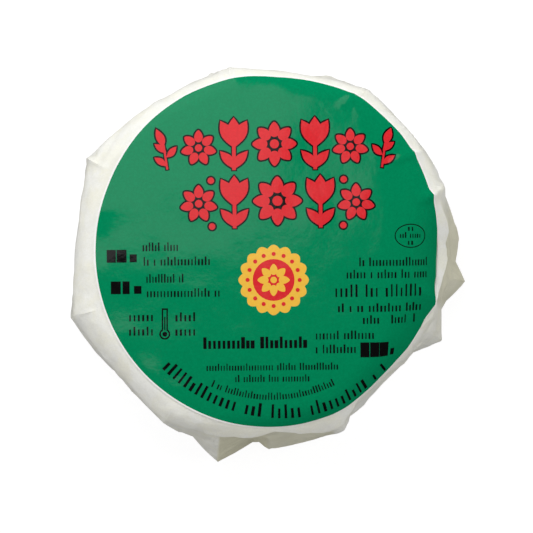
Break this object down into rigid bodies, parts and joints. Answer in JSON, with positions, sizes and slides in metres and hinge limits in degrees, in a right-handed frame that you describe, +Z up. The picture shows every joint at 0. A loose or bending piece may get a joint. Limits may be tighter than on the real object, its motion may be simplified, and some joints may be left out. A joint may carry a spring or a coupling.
{
  "type": "chaource",
  "caption": "Small round soft cheese shut in pleated white paper, with a round printed label glued over its top.",
  "frame": {"origin": "centre of the cheese, on the surface that the pack stands on", "axes": "+Z up through the top of the pack; +X to the right and +Y to the top of the label's print"},
  "size_m": [0.101, 0.1005, 0.0428],
  "materials": {
    "wrap_paper": "satin",
    "label_print": "gloss"
  },
  "bodies": {
    "root": {"wrap": "wrap_paper", "label": "label_print"}
  },
  "joints": []
}
